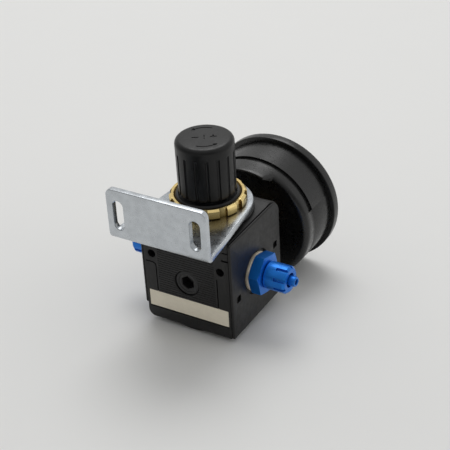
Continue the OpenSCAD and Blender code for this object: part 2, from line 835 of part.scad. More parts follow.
// The toothed sector turns about a shaft below the pinion, and its tail takes the link
module sector_gear() {
    teeth = pinion_teeth * gear_ratio;
    tooth = 360 / teeth;
    color([0.80, 0.66, 0.34]) translate([0, 0, -sector_drop]) union() {
        gauge_axis(gear_y) linear_extrude(gear_t) difference() {
            union() {
                // Teeth reach a little past the sweep at both ends
                intersection() {
                    rotate([0, 0, 90 + tooth / 2])
                        gear_outline(teeth, -8, 1, sector_pitch_r, gear_module);
                    rotate([0, 0, 70]) wedge(35);
                }
                circle(r = 1.8);
                rotate([0, 0, tail_angle]) translate([0, -0.9]) square([link_arm, 1.8]);
                rotate([0, 0, tail_angle]) translate([link_arm, 0]) circle(r = 0.9, $fn = 32);
            }
            rotate([0, 0, tail_angle]) translate([link_arm, 0]) circle(r = 0.35, $fn = 24);
        }
        gauge_axis(38.6) cylinder(h = 6.4, r = 0.55);
    }
}

frame_back_y = 38.4;
frame_front_y = 44.4;
frame_t = 0.8;

module movement_frame() {
    color([0.80, 0.66, 0.34]) {
        for (y = [frame_back_y, frame_front_y]) gauge_axis(y) difference() {
            linear_extrude(frame_t) translate([0, -sector_drop / 2])
                rounded_rect(12, sector_drop + 7, 2);
            translate([0, 0, -1]) cylinder(h = 3, r = 0.6);
            translate([0, -sector_drop, -1]) cylinder(h = 3, r = 0.6);
        }
        for (x = [-1, 1]) gauge_axis(frame_back_y + frame_t) translate([x * 4.6, 2.4, 0])
            cylinder(h = frame_front_y - frame_back_y - frame_t, r = 0.8);
        for (x = [-1, 1]) gauge_axis(socket_face + block_t) translate([x * 2.6, -3, 0])
            cylinder(h = frame_back_y - socket_face - block_t + eps, r = 1);
        // Stud that holds the outer end of the hairspring
        gauge_axis(43.5) translate([-4.05, 0, 0])
            cylinder(h = frame_front_y - 43.5 + eps, r = 0.3, $fn = 24);
        // Posts that carry the dial
        for (x = [-1, 1]) gauge_axis(frame_front_y + frame_t) translate([x * 5.5, 0, 0])
            cylinder(h = dial_y - frame_front_y - frame_t, r = 0.5, $fn = 24);
    }
}

link_y = gear_y - 0.6;
link_t = 0.4;

module bourdon_tube() {
    half = 2.4;
    thick = 0.8;
    round_w = 1.9;
    cap_back = 1.5;
    color([0.76, 0.58, 0.28]) union() {
        gauge_axis(tube_y) rotate([0, 0, tip_angle])
            rotate_extrude(angle = tube_end_angle - tip_angle) translate([tube_mean_r, 0]) polygon([
                [-thick, -round_w], [-thick / 3, -half], [thick / 3, -half], [thick, -round_w],
                [thick, round_w], [thick / 3, half], [-thick / 3, half], [-thick, round_w]]);
        // Cap that closes the free tip and reaches forward to the link
        gauge_axis(tube_y - cap_back) rotate([0, 0, tip_angle]) translate([tube_mean_r - 1.2, -1.6, 0])
            cube([2.4, 2.6, link_y - 0.1 - tube_y + cap_back]);
    }
}

module tip_link() {
    reach = link_len - 1;
    color([0.72, 0.73, 0.75]) gauge_axis(link_y) translate([tail_x, tail_z, 0]) union() {
        linear_extrude(link_t) {
            circle(r = 0.8, $fn = 32);
            rotate([0, 0, link_angle]) translate([0, -0.5]) square([reach, 1]);
            rotate([0, 0, link_angle]) translate([reach, 0]) circle(r = 0.8, $fn = 32);
        }
        cylinder(h = gear_y - link_y + gear_t, r = 0.28, $fn = 24);
    }
}

// A flat spiral about the pinion shaft
function spiral_point(t, r0, r1, turns) =
    let (r = r0 + (r1 - r0) * t, a = 360 * turns * t) [r * cos(a), r * sin(a)];

module hairspring() {
    n = 84;
    turns = 3.5;
    color([0.70, 0.72, 0.76]) gauge_axis(43.6) linear_extrude(0.5) polygon(concat(
        [for (i = [0 : n]) spiral_point(i / n, 0.75, 3.6, turns)],
        [for (i = [n : -1 : 0]) spiral_point(i / n, 0.87, 3.72, turns)]));
}

module dial_screws() {
    color([0.70, 0.70, 0.72]) for (s = [-1, 1])
        gauge_axis(dial_y + 0.5) translate([s * 5.5, 0, 0]) difference() {
            union() {
                cylinder(h = 0.5, r = 1);
                translate([0, 0, -0.5]) cylinder(h = 0.6, r = 0.5);
            }
            translate([-2, -0.15, 0.3]) cube([4, 0.3, 1]);
        }
}

body();
front_cover();
rear_cover();
label_strip();
inlet_side_plate();
outlet_side_plate();
base_cap();
base_o_ring();
valve_poppet();
valve_seal();
valve_spring();
diaphragm();
diaphragm_plate();
relief_seat();
centre_nut();
main_spring();
spring_plate();
bonnet();
spindle();
retaining_clip();
knob();
ring_nut();
bracket();
rear_port_plug();
rear_plug_seal();
inlet_fitting();
inlet_washer();
inlet_union_nut();
outlet_fitting();
outlet_washer();
outlet_union_nut();
gauge_socket();
gauge_washer();
gauge_case();
gauge_bezel();
gauge_window();
gauge_seal();
gauge_dial();
gauge_pointer();
pinion_shaft();
sector_gear();
movement_frame();
bourdon_tube();
tip_link();
hairspring();
dial_screws();
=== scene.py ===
import json
from math import acos, atan2, cos, hypot, pi, radians, sin, tan
import bmesh
import bpy
from mathutils import Matrix, Vector


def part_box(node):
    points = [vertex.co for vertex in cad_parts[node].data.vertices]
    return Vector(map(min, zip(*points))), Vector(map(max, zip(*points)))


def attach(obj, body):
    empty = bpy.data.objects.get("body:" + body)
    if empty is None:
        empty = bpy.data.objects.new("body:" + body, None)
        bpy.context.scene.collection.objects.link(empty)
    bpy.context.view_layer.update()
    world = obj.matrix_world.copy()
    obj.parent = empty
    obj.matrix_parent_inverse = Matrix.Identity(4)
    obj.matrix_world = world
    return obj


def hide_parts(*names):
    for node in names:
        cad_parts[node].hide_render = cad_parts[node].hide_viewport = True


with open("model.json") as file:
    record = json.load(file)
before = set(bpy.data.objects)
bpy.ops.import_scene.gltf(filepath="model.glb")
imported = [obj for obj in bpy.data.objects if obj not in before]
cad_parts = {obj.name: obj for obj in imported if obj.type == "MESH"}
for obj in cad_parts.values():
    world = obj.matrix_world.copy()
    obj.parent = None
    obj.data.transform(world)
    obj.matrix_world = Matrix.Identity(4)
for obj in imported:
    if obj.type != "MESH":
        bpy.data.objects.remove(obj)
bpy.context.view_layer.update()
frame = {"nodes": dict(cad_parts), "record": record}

# Shapes are drawn in millimetres, in the part's frame, and scaled to metres when the mesh is made.
MM = 0.001
TURN = 2 * pi


def edges(node):
    """Lowest and highest corner of a CAD node, in millimetres."""
    low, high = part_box(node)
    return low / MM, high / MM


# ---------- sizes taken from the frame ----------

core_low, core_high = edges("body")
rear_low, rear_high = edges("rear_cover")
front_low, front_high = edges("front_cover")
half_w = -edges("inlet_side_plate")[0].x
core_w = core_high.x
core_d = rear_low.y
bottom = core_low.z
body_top = core_high.z
skin = half_w - core_w
port_z = (edges("gauge_bezel")[0].z + edges("gauge_bezel")[1].z) / 2

# ---------- places: each puts a shape's own x, y, z into the part's frame ----------

UPRIGHT = Matrix.Identity(4)
# Seen from the front: x stays, y runs up, z runs out of the gauge's face
FACE = Matrix(((1, 0, 0, 0), (0, 0, -1, 0), (0, 1, 0, 0), (0, 0, 0, 1)))
GAUGE = Matrix.Translation((0, 0, port_z)) @ FACE
# Seen from the outlet: x runs to the rear, y runs up, z runs out of the outlet
SIDE = Matrix(((0, 0, 1, 0), (1, 0, 0, 0), (0, 1, 0, 0), (0, 0, 0, 1)))
# Out of the rear face, for the plug
REAR = Matrix(((-1, 0, 0, 0), (0, 0, 1, 0), (0, 1, 0, port_z), (0, 0, 0, 1)))


def port_side(side):
    """z runs out of the port on that side of the body: 1 is the outlet, -1 the inlet."""
    return Matrix(((0, 0, side, 0), (0, 1, 0, 0), (-side, 0, 0, port_z), (0, 0, 0, 1)))


# ---------- outlines ----------

def rounded(corners, closed=True, steps=4):
    """An outline of (x, y, tag) from corners of (x, y, radius, tag); radius and tag may be left out."""
    full = [(c[0], c[1], c[2] if len(c) > 2 else 0, c[3] if len(c) > 3 else "") for c in corners]
    out = []
    for i, (x, y, radius, tag) in enumerate(full):
        ends = not closed and i in (0, len(full) - 1)
        if not radius or ends:
            out.append((x, y, tag))
            continue
        here = Vector((x, y))
        to_last = (Vector(full[i - 1][:2]) - here).normalized()
        to_next = (Vector(full[(i + 1) % len(full)][:2]) - here).normalized()
        half = to_last.angle(to_next) / 2
        centre = here + (to_last + to_next).normalized() * radius / sin(half)
        start = here + to_last * radius / tan(half) - centre
        end = here + to_next * radius / tan(half) - centre
        first = atan2(start.y, start.x)
        sweep = (atan2(end.y, end.x) - first + pi) % TURN - pi
        for k in range(steps + 1):
            angle = first + sweep * k / steps
            out.append((centre.x + radius * cos(angle), centre.y + radius * sin(angle), tag))
    return out


def circle(x, y, radius, count=48):
    return [(x + radius * cos(TURN * k / count), y + radius * sin(TURN * k / count))
            for k in range(count)]


def rectangle(x0, y0, x1, y1, radius=0.0, steps=4):
    return rounded([(x0, y0, radius), (x1, y0, radius), (x1, y1, radius), (x0, y1, radius)], steps=steps)


def slot_outline(x, y, width, length, count=24):
    """An upright slot with round ends."""
    half, straight = width / 2, (length - width) / 2
    top = [(x + half * cos(pi * k / count), y + straight + half * sin(pi * k / count))
           for k in range(count + 1)]
    return top + [(2 * x - px, 2 * y - py) for px, py in top]


# ---------- angles around a turned shape ----------

def even(count, start=0.0):
    """Angles spread evenly from start."""
    return [start + TURN * k / count for k in range(count)]


def off_centre(angle, count, start):
    """The angle from the nearest of count marks spread evenly from start."""
    step = TURN / count
    return abs((angle - start + step / 2) % step - step / 2)


def hex_scale(angle, start):
    """How far a hexagon's side is at that angle, for an inner radius of 1."""
    return 1 / cos(off_centre(angle, 6, start))


def notched(count, start, half, inside=4, outside=4, wall=0.004):
    """Angles for count notches of that half angle, with a steep wall at each side of a notch."""
    step = TURN / count
    rest = step - 2 * half - 2 * wall
    out = []
    for n in range(count):
        middle = start + n * step
        out += [middle - half + 2 * half * k / inside for k in range(inside + 1)]
        out += [middle + half + wall + rest * k / outside for k in range(outside + 1)]
    return out


# ---------- solids ----------

def solid(name, bm, place):
    """Makes the object from a bmesh drawn in millimetres."""
    bmesh.ops.remove_doubles(bm, verts=bm.verts, dist=1e-4)
    bmesh.ops.recalc_face_normals(bm, faces=bm.faces)
    mesh = bpy.data.meshes.new(name)
    bm.to_mesh(mesh)
    bm.free()
    mesh.transform(Matrix.Scale(MM, 4) @ place)
    piece = bpy.data.objects.new(name, mesh)
    bpy.context.scene.collection.objects.link(piece)
    return piece


def turned(name, corners, place=UPRIGHT, angles=None, warp=None, closed=False, steps=4):
    """A turned solid from corners of (radius, height, rounding, tag).

    warp(tag, angle, radius, height) gives the radius and height there, for notches, flats and the like.
    """
    line = rounded(corners, closed, steps)
    angles = angles or even(96)
    bm = bmesh.new()
    columns = []
    poles = {}
    for angle in angles:
        column = []
        for i, (radius, height, tag) in enumerate(line):
            r, h = warp(tag, angle, radius, height) if warp else (radius, height)
            if radius == 0:
                if i not in poles:
                    poles[i] = bm.verts.new((0, 0, h))
                column.append(poles[i])
            else:
                column.append(bm.verts.new((r * cos(angle), r * sin(angle), h)))
        columns.append(column)
    rows = len(line) if closed else len(line) - 1
    for n, column in enumerate(columns):
        other = columns[(n + 1) % len(columns)]
        for i in range(rows):
            j = (i + 1) % len(line)
            ring = []
            for v in (column[i], other[i], other[j], column[j]):
                if v not in ring:
                    ring.append(v)
            if len(ring) > 2:
                bm.faces.new(ring)
    return solid(name, bm, place)


def inset(outline, distance):
    """The outline moved to its left by distance, with mitred corners. A round-anticlockwise one shrinks."""
    points = [Vector(p[:2]) for p in outline]
    out = []
    for i, here in enumerate(points):
        a = (here - points[i - 1]).normalized()
        b = (points[(i + 1) % len(points)] - here).normalized()
        left_a, left_b = Vector((-a.y, a.x)), Vector((-b.y, b.x))
        out.append(here + (left_a + left_b) * distance / (1 + left_a.dot(left_b)))
    return out


def area(outline):
    return sum(p[0] * q[1] - q[0] * p[1] for p, q in zip(outline, outline[1:] + outline[:1])) / 2


def edge_levels(low, high, low_edge, edge, steps):
    """(height, inset) up a plate's side, with both edges rounded."""
    quarter = [pi / 2 * k / steps for k in range(steps + 1)]
    return ([(low + low_edge * (1 - cos(a)), low_edge * (1 - sin(a))) for a in quarter]
            + [(high - edge * (1 - sin(a)), edge * (1 - cos(a))) for a in quarter])


def plate(name, outline, low, high, holes=(), edge=0.1, low_edge=None, hole_edge=None, place=UPRIGHT,
          steps=3):
    """A flat plate with rounded edges, between two heights, with holes."""
    low_edge = edge if low_edge is None else low_edge
    hole_edge = edge if hole_edge is None else hole_edge
    bm = bmesh.new()
    caps = [[], []]
    for contour in [outline, *holes]:
        points = [Vector(p[:2]) for p in contour]
        outer = contour is outline
        if (area([tuple(p) for p in points]) > 0) != outer:
            points.reverse()
        lower, upper = (low_edge, edge) if outer else (min(low_edge, hole_edge), min(edge, hole_edge))
        rings = [[bm.verts.new((*p, z)) for p in inset(points, d)]
                 for z, d in edge_levels(low, high, lower, upper, steps)]
        for a, b in zip(rings, rings[1:]):
            for i in range(len(a)):
                bm.faces.new((a[i - 1], a[i], b[i], b[i - 1]))
        for cap, ring in zip(caps, (rings[0], rings[-1])):
            cap += [bm.edges.get((ring[i - 1], ring[i])) for i in range(len(ring))]
    for cap in caps:
        bmesh.ops.triangle_fill(bm, edges=cap, use_beauty=True)
    return solid(name, bm, place)


def block(low, high):
    """A plain box, used only to cut or to join."""
    bm = bmesh.new()
    size, middle = Vector(high) - Vector(low), (Vector(high) + Vector(low)) / 2
    bmesh.ops.create_cube(bm, size=1, matrix=Matrix.Translation(middle) @ Matrix.Diagonal((*size, 1)))
    return solid("cutter", bm, UPRIGHT)


def rod(centre, direction, radius, length, count=48):
    """A plain round bar through centre, used only to cut."""
    turn = Vector((0, 0, 1)).rotation_difference(Vector(direction)).to_matrix().to_4x4()
    place = Matrix.Translation(centre) @ turn
    return turned("cutter", [(0, -length / 2), (radius, -length / 2), (radius, length / 2), (0, length / 2)],
                  place, even(count))


def gather(mesh, others):
    """Adds the other meshes to the mesh."""
    bm = bmesh.new()
    for source in [mesh, *others]:
        bm.from_mesh(source)
    bm.to_mesh(mesh)
    bm.free()


def combine(piece, tools, operation="DIFFERENCE"):
    """Cuts the tools out of the piece, or joins them to it, and deletes them."""
    gather(tools[0].data, [tool.data for tool in tools[1:]])
    for tool in tools[1:]:
        bpy.data.objects.remove(tool)
    change = piece.modifiers.new("shape", "BOOLEAN")
    change.operation = operation
    change.solver = "EXACT"
    change.use_self = True
    change.object = tools[0]
    apply_modifiers(piece)
    bpy.data.objects.remove(tools[0])
    return piece


def apply_modifiers(piece):
    bpy.context.view_layer.update()
    result = bpy.data.meshes.new_from_object(piece.evaluated_get(bpy.context.evaluated_depsgraph_get()))
    piece.modifiers.clear()
    piece.data = result


def fit(piece, material, body="root", stands_for=(), smooth=32):
    """Gives the piece its material and its body, and hides the CAD nodes that it stands for."""
    mesh = piece.data
    mesh.materials.clear()
    mesh.materials.append(material)
    mesh.shade_smooth()
    mesh.set_sharp_from_angle(angle=radians(smooth))
    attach(piece, body)
    if stands_for:
        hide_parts(*stands_for)
    return piece


# ---------- materials ----------

class Nodes:
    """A short way to add and join shader nodes."""

    def __init__(self, material):
        material.use_nodes = True
        self.tree = material.node_tree
        self.tree.nodes.clear()

    def add(self, kind, inputs=None, **settings):
        node = self.tree.nodes.new(kind)
        for key, value in settings.items():
            setattr(node, key, value)
        for key, value in (inputs or {}).items():
            self.put(node.inputs[key], value)
        return node

    def put(self, socket, value):
        if isinstance(value, bpy.types.NodeSocket):
            self.tree.links.new(value, socket)
        else:
            socket.default_value = value

    def maths(self, operation, a, b=0.0, clamp=False):
        node = self.add("ShaderNodeMath", operation=operation, use_clamp=clamp)
        self.put(node.inputs[0], a)
        self.put(node.inputs[1], b)
        return node.outputs[0]

    def ramp(self, value, low, high, to_low=0.0, to_high=1.0):
        return self.add("ShaderNodeMapRange", {"Value": value, "From Min": low, "From Max": high,
                                               "To Min": to_low, "To Max": to_high}).outputs["Result"]

    def mix(self, factor, a, b):
        node = self.add("ShaderNodeMix", data_type="RGBA")
        self.put(node.inputs["Factor"], factor)
        self.put(node.inputs["A"], a)
        self.put(node.inputs["B"], b)
        return node.outputs["Result"]

    def noise(self, place, scale, detail=4.0, rough=0.6):
        return self.add("ShaderNodeTexNoise", {"Vector": place, "Scale": scale, "Detail": detail,
                                               "Roughness": rough}).outputs["Fac"]

    def finish(self, shader):
        bsdf = self.add("ShaderNodeBsdfPrincipled", shader)
        out = self.add("ShaderNodeOutputMaterial")
        self.tree.links.new(bsdf.outputs[0], out.inputs["Surface"])


def worn_share(nodes, place, reach, scale, wear):
    """How much an edge is rubbed: a bevelled normal leaves the true normal only near an edge."""
    wide = nodes.add("ShaderNodeBevel", {"Radius": reach}, samples=4).outputs["Normal"]
    true_normal = nodes.add("ShaderNodeNewGeometry").outputs["Normal"]
    facing = nodes.add("ShaderNodeVectorMath", operation="DOT_PRODUCT")
    nodes.put(facing.inputs[0], wide)
    nodes.put(facing.inputs[1], true_normal)
    bend = nodes.ramp(facing.outputs["Value"], 1.0, 0.86)
    rubbed = nodes.ramp(nodes.noise(place, scale, 4.0), 0.42, 0.6)
    return nodes.maths("MULTIPLY", nodes.maths("MULTIPLY", bend, rubbed, True), wear)


def turning_marks(nodes, place, axis, normal):
    """Fine lines that run around the axis, as a lathe leaves them."""
    depth, marks_to_metre = 0.0000015, 9000.0
    rings = nodes.add("ShaderNodeTexWave", {"Vector": place, "Scale": 1100.0, "Distortion": 1.5,
                                            "Detail": 3.0, "Detail Scale": 2.0},
                      wave_type="BANDS", bands_direction=axis)
    circles = nodes.add("ShaderNodeTexNoise", {"Scale": 1.0, "Detail": 2.0}, noise_dimensions="1D")
    parts = nodes.add("ShaderNodeSeparateXYZ", {"Vector": place}).outputs
    others = [parts[a] for a in "XYZ" if a != axis]
    if axis != "Z":
        others[1] = nodes.maths("SUBTRACT", others[1], port_z * MM)
    reach = nodes.maths("SQRT", nodes.maths("ADD", nodes.maths("MULTIPLY", others[0], others[0]),
                                            nodes.maths("MULTIPLY", others[1], others[1])))
    nodes.put(circles.inputs["W"], nodes.maths("MULTIPLY", reach, marks_to_metre))
    marks = nodes.maths("ADD", rings.outputs["Fac"], circles.outputs["Fac"])
    return nodes.add("ShaderNodeBump", {"Height": marks, "Distance": depth, "Normal": normal,
                                        "Strength": 1.0}).outputs["Normal"]


def surface(name, colour, roughness, metallic=0.0, mottle=0.25, patch=160.0, spread=0.08,
            grain=0.00001, grain_scale=5200.0, rounding=0.00012, worn=None, wear=0.0,
            lathe=None, cells=0.0, painted_shade=0.0, painted_shade_reach=0.005, shader=None):
    """A material with colour mottle, uneven roughness, a fine grain, softened edges, worn edges and painted
    shade in hollows.

    grain, rounding, painted_shade_reach: lengths in metres. patch, grain_scale: marks to the metre.
    lathe: the axis that turning marks run around. cells: how much of the mottle is in flakes.
    painted_shade: how far hollows within painted_shade_reach are darkened, as painted shade.
    """
    material = bpy.data.materials.new(name)
    nodes = Nodes(material)
    place = nodes.add("ShaderNodeTexCoord").outputs["Object"]
    soft_noise = nodes.noise(place, patch, 5.0)
    fine_noise = nodes.noise(place, patch * 9, 6.0)
    dark = (*[c * (1 - mottle) for c in colour], 1)
    light = (*[min(1, c * (1 + mottle)) for c in colour], 1)
    tone = nodes.maths("ADD", nodes.maths("MULTIPLY", soft_noise, 0.65),
                       nodes.maths("MULTIPLY", fine_noise, 0.35))
    if cells:
        voronoi = nodes.add("ShaderNodeTexVoronoi", {"Vector": place, "Scale": 420.0, "Randomness": 1.0},
                            feature="SMOOTH_F1")
        tone = nodes.maths("ADD", nodes.maths("MULTIPLY", tone, 1 - cells),
                           nodes.maths("MULTIPLY", voronoi.outputs["Distance"], cells))
    shade = nodes.mix(nodes.ramp(tone, 0.32, 0.68), dark, light)
    edge_normal = nodes.add("ShaderNodeBevel", {"Radius": rounding}, samples=4).outputs["Normal"]
    if worn:
        shade = nodes.mix(worn_share(nodes, place, rounding * 2.5, patch * 5, wear), shade, (*worn, 1))
    # Painted shade: ambient occlusion darkens the colour in hollows and where other parts are close
    if painted_shade:
        hollow = nodes.add("ShaderNodeAmbientOcclusion", {"Distance": painted_shade_reach}, samples=8).outputs["AO"]
        painted_shade_share = nodes.maths("MULTIPLY", nodes.ramp(hollow, 0.95, 0.35), painted_shade)
        shade = nodes.mix(painted_shade_share, shade, (*[c * c * 0.4 for c in colour], 1))
    uneven = nodes.ramp(nodes.noise(place, patch * 3, 6.0), 0.3, 0.7,
                        max(0.03, roughness - spread), min(1, roughness + spread))
    height = nodes.noise(place, grain_scale, 3.0, 0.5)
    normal = nodes.add("ShaderNodeBump", {"Height": height, "Distance": grain, "Normal": edge_normal,
                                          "Strength": 1.0}).outputs["Normal"]
    if lathe:
        normal = turning_marks(nodes, place, lathe, normal)
    nodes.finish({"Base Color": shade, "Roughness": uneven, "Metallic": metallic, "Normal": normal,
                  **(shader or {})})
    return material


def clear_window():
    """Clear moulded plastic for the gauge's window."""
    material = bpy.data.materials.new("window")
    nodes = Nodes(material)
    place = nodes.add("ShaderNodeTexCoord").outputs["Object"]
    ripple = nodes.add("ShaderNodeBump", {"Height": nodes.noise(place, 90.0, 2.0), "Distance": 0.00002})
    uneven = nodes.ramp(nodes.noise(place, 400.0), 0.3, 0.7, 0.02, 0.07)
    nodes.finish({"Base Color": (0.96, 0.98, 0.98, 1), "Roughness": uneven, "IOR": 1.49,
                  "Transmission Weight": 1.0, "Normal": ripple.outputs["Normal"]})
    return material


GREY_EDGE = (0.07, 0.07, 0.072)
SATIN = {"Specular IOR Level": 0.38}

MATERIALS = {
    "body_metal": surface("body_metal", (0.009, 0.009, 0.0092), 0.48, worn=GREY_EDGE, wear=0.3,
                          grain=0.000014, grain_scale=4200, shader=SATIN),
    "cover_plastic": surface("cover_plastic", (0.0062, 0.0058, 0.0058), 0.45, worn=GREY_EDGE, wear=0.2,
                             grain=0.000012, rounding=0.00015, shader=SATIN),
    "label_paper": surface("label_paper", (0.88, 0.81, 0.66), 0.6, mottle=0.05, patch=260,
                           grain=0.000006, grain_scale=3000, rounding=0.00008),
    "knob_plastic": surface("knob_plastic", (0.0036, 0.0036, 0.0038), 0.36, worn=GREY_EDGE, wear=0.2,
                            grain=0.000007, grain_scale=4800, shader={"Specular IOR Level": 0.34}),
    # The zinc is darkened where other parts are close, near the bend and the ring nut, as painted shade
    "zinc_steel": surface("zinc_steel", (0.56, 0.59, 0.62), 0.27, 1.0, mottle=0.09, patch=90,
                          spread=0.06, grain=0.000006, grain_scale=2600, cells=0.4,
                          worn=(0.86, 0.88, 0.9), wear=0.6, painted_shade=0.85, painted_shade_reach=0.016),
    "steel": surface("steel", (0.5, 0.5, 0.52), 0.3, 1.0, mottle=0.08, grain=0.000003,
                     worn=(0.7, 0.7, 0.72), wear=0.4),
    "spring_steel": surface("spring_steel", (0.36, 0.37, 0.39), 0.32, 1.0, mottle=0.12, grain=0.000003,
                            worn=(0.6, 0.6, 0.62), wear=0.3),
    # The brass is darkened where other parts are close, such as the ring nut's sides over the bracket, as
    # painted shade
    "brass": surface("brass", (0.90, 0.70, 0.31), 0.2, 1.0, mottle=0.06, spread=0.05, grain=0.000003,
                     worn=(0.95, 0.82, 0.45), wear=0.7, lathe="Z", painted_shade=1.0, painted_shade_reach=0.006),
    "gauge_brass": surface("gauge_brass", (0.74, 0.55, 0.24), 0.3, 1.0, mottle=0.1, grain=0.000003,
                           worn=(0.9, 0.76, 0.42), wear=0.4, lathe="Y"),
    "blue_aluminium": surface("blue_aluminium", (0.003, 0.175, 0.66), 0.4, 0.65, mottle=0.1, patch=220,
                              grain=0.000003, worn=(0.2, 0.44, 0.80), wear=0.5, lathe="X",
                              shader={"Coat Weight": 0.15, "Coat Roughness": 0.3}),
    "fibre_washer": surface("fibre_washer", (0.62, 0.55, 0.44), 0.7, mottle=0.12, patch=500,
                            grain=0.00002, grain_scale=3600),
    "rubber": surface("rubber", (0.012, 0.012, 0.012), 0.6, mottle=0.2, grain=0.00001),
    "copper": surface("copper", (0.72, 0.36, 0.2), 0.38, 1.0, mottle=0.14, grain=0.000004,
                      worn=(0.88, 0.52, 0.34), wear=0.4, lathe="Y"),
    "gauge_black": surface("gauge_black", (0.0032, 0.0033, 0.0034), 0.3, worn=GREY_EDGE, wear=0.15,
                           grain=0.000005, grain_scale=3400, shader={"Specular IOR Level": 0.56}),
    "dial_white": surface("dial_white", (0.80, 0.80, 0.77), 0.5, mottle=0.025, grain=0.000002,
                          grain_scale=1800),
    "pointer_black": surface("pointer_black", (0.01, 0.01, 0.01), 0.4, mottle=0.15, grain=0.000002),
    "window": clear_window(),
}
print_black = surface("print_black", (0.012, 0.012, 0.012), 0.55, mottle=0.15, grain=0.000002)
plug_steel = surface("plug_steel", (0.010, 0.010, 0.0105), 0.4, mottle=0.15, worn=(0.12, 0.12, 0.12),
                     wear=0.4, grain=0.000006, lathe="Y", shader=SATIN)

# ---------- knob ----------

knob_low, knob_high = edges("knob")
GROOVES, FIRST_GROOVE = 16, radians(11.25)


def make_knob():
    top_r, low_z, top_z = knob_high.x, knob_low.z, knob_high.z
    low_r = top_r - 0.15
    hub_r, socket = 5.6, 3.8 * cos(pi / 6)
    wall, roof, hub_z = 1.7, 2.4, low_z + 3
    groove_top, half, depth = top_z - 4.7, 0.058, 0.6
    slope = (top_r - low_r) / (top_z - low_z)
    # The side's heights are close together where the grooves run out
    side = [(low_r + slope * (z - low_z), z, 0, "grip")
            for z in (low_z + 0.45, low_z + 3, groove_top - 4, groove_top - 1.1, groove_top - 0.8,
                      groove_top - 0.55, groove_top - 0.3, groove_top - 0.1, groove_top + 0.05)]
    corners = [(0, top_z - roof), (socket, top_z - roof, 0, "hex"), (socket, hub_z, 0, "hex"),
               (hub_r, hub_z, 0.3), (hub_r, top_z - roof, 0.3), (top_r - wall - 0.55, top_z - roof, 0.4),
               (low_r - wall, low_z, 0.2), (low_r, low_z, 0.35, "grip"), *side,
               (top_r, top_z, 2.0), (0, top_z)]

    def warp(tag, angle, radius, height):
        if tag == "hex":
            return radius * hex_scale(angle, pi / 6), height
        if tag == "grip":
            away = off_centre(angle, GROOVES, FIRST_GROOVE) / half
            if away < 1:
                run_out = min(1, max(0, (groove_top - height) / 0.9))
                scoop = (1 - away * away) ** 0.5
                return radius - depth * scoop * (1 - (1 - run_out) ** 2) ** 0.5, height
        return radius, height

    step = TURN / GROOVES
    angles = []
    for n in range(GROOVES):
        middle = FIRST_GROOVE + n * step
        angles += [middle + half * sin(pi / 2 * k / 5) for k in range(-5, 6)]
        angles += [middle + half + (step - 2 * half) * k / 6 for k in range(1, 6)]
    knob = turned("knob_shell", corners, angles=angles, warp=warp, steps=5)
    combine(knob, knob_marks(top_z))
    fit(knob, MATERIALS["knob_plastic"], "knob", ["knob"], smooth=40)


def arc_band(radius, width, first, last, count=24):
    """The outline of a curved band."""
    angles = [first + (last - first) * k / count for k in range(count + 1)]
    outer = [((radius + width / 2) * cos(a), (radius + width / 2) * sin(a)) for a in angles]
    inner = [((radius - width / 2) * cos(a), (radius - width / 2) * sin(a)) for a in reversed(angles)]
    return outer + inner


def knob_marks(face):
    """Cutters for two engraved arrows, a plus, a minus and three dots, as on any adjusting knob."""
    low, high, line, radius = face - 0.35, face + 1, 0.5, 7.4
    marks = []
    first, last = radians(30), radians(84)
    tip, head_half = last + radians(13), 0.95
    head = [(radius * cos(tip), radius * sin(tip))]
    head += [((radius + k) * cos(last), (radius + k) * sin(last)) for k in (head_half, -head_half)]
    for side in (0, 1):
        spin = Matrix.Rotation(radians(66) + pi * side, 4, "Z")
        marks.append(plate("cutter", arc_band(radius, line, first, last), low, high, edge=0, place=spin))
        marks.append(plate("cutter", head, low, high, edge=0, place=spin))
    spin = Matrix.Rotation(radians(212), 4, "Z")
    sign_x, reach, half, dot, dot_gap = 3.4, 1.3, 0.28, 0.25, 1.2
    bars = [rectangle(side * sign_x - reach, -half, side * sign_x + reach, half) for side in (-1, 1)]
    bars.append(rectangle(sign_x - half, -reach, sign_x + half, reach))
    bars += [rectangle(-dot, k - dot, dot, k + dot) for k in (-dot_gap, 0, dot_gap)]
    return marks + [plate("cutter", bar, low, high, edge=0, place=spin) for bar in bars]


# ---------- bonnet, ring nut, bracket ----------

bonnet_low, bonnet_high = edges("bonnet")
nut_low, nut_high = edges("ring_nut")
boss_top = nut_low.z - 2.5
neck_r = 12.65


def make_bonnet():
    low, top = bonnet_low.z, bonnet_high.z
    skirt_r, boss_r = 12.92, bonnet_high.x
    room_r, room_top, lid_top = 10.4, 48.6, 51.5
    bore, recess = 4.0, 11.1
    root_r, pitch = neck_r - 0.45, 0.75
    thread = []
    z = boss_top + 0.4
    while z < top - 0.9:
        thread += [(root_r, z, 0.06), (neck_r, z + 0.36, 0.08)]
        z += pitch
    corners = [(bore, room_top), (room_r, room_top, 0.3), (room_r, low), (skirt_r, low, 0.2),
               (skirt_r, body_top), (boss_r, body_top, 0.1), (boss_r, boss_top, 0.35),
               (root_r, boss_top), *thread, (neck_r - 0.3, top - 0.35), (neck_r - 0.7, top, 0.12),
               (recess + 0.15, top, 0.12), (recess, top - 0.3), (recess, lid_top, 0.25), (bore, lid_top)]
    bonnet = turned("bonnet_shell", corners, closed=True, steps=3)
    fit(bonnet, MATERIALS["knob_plastic"], "root", ["bonnet"])


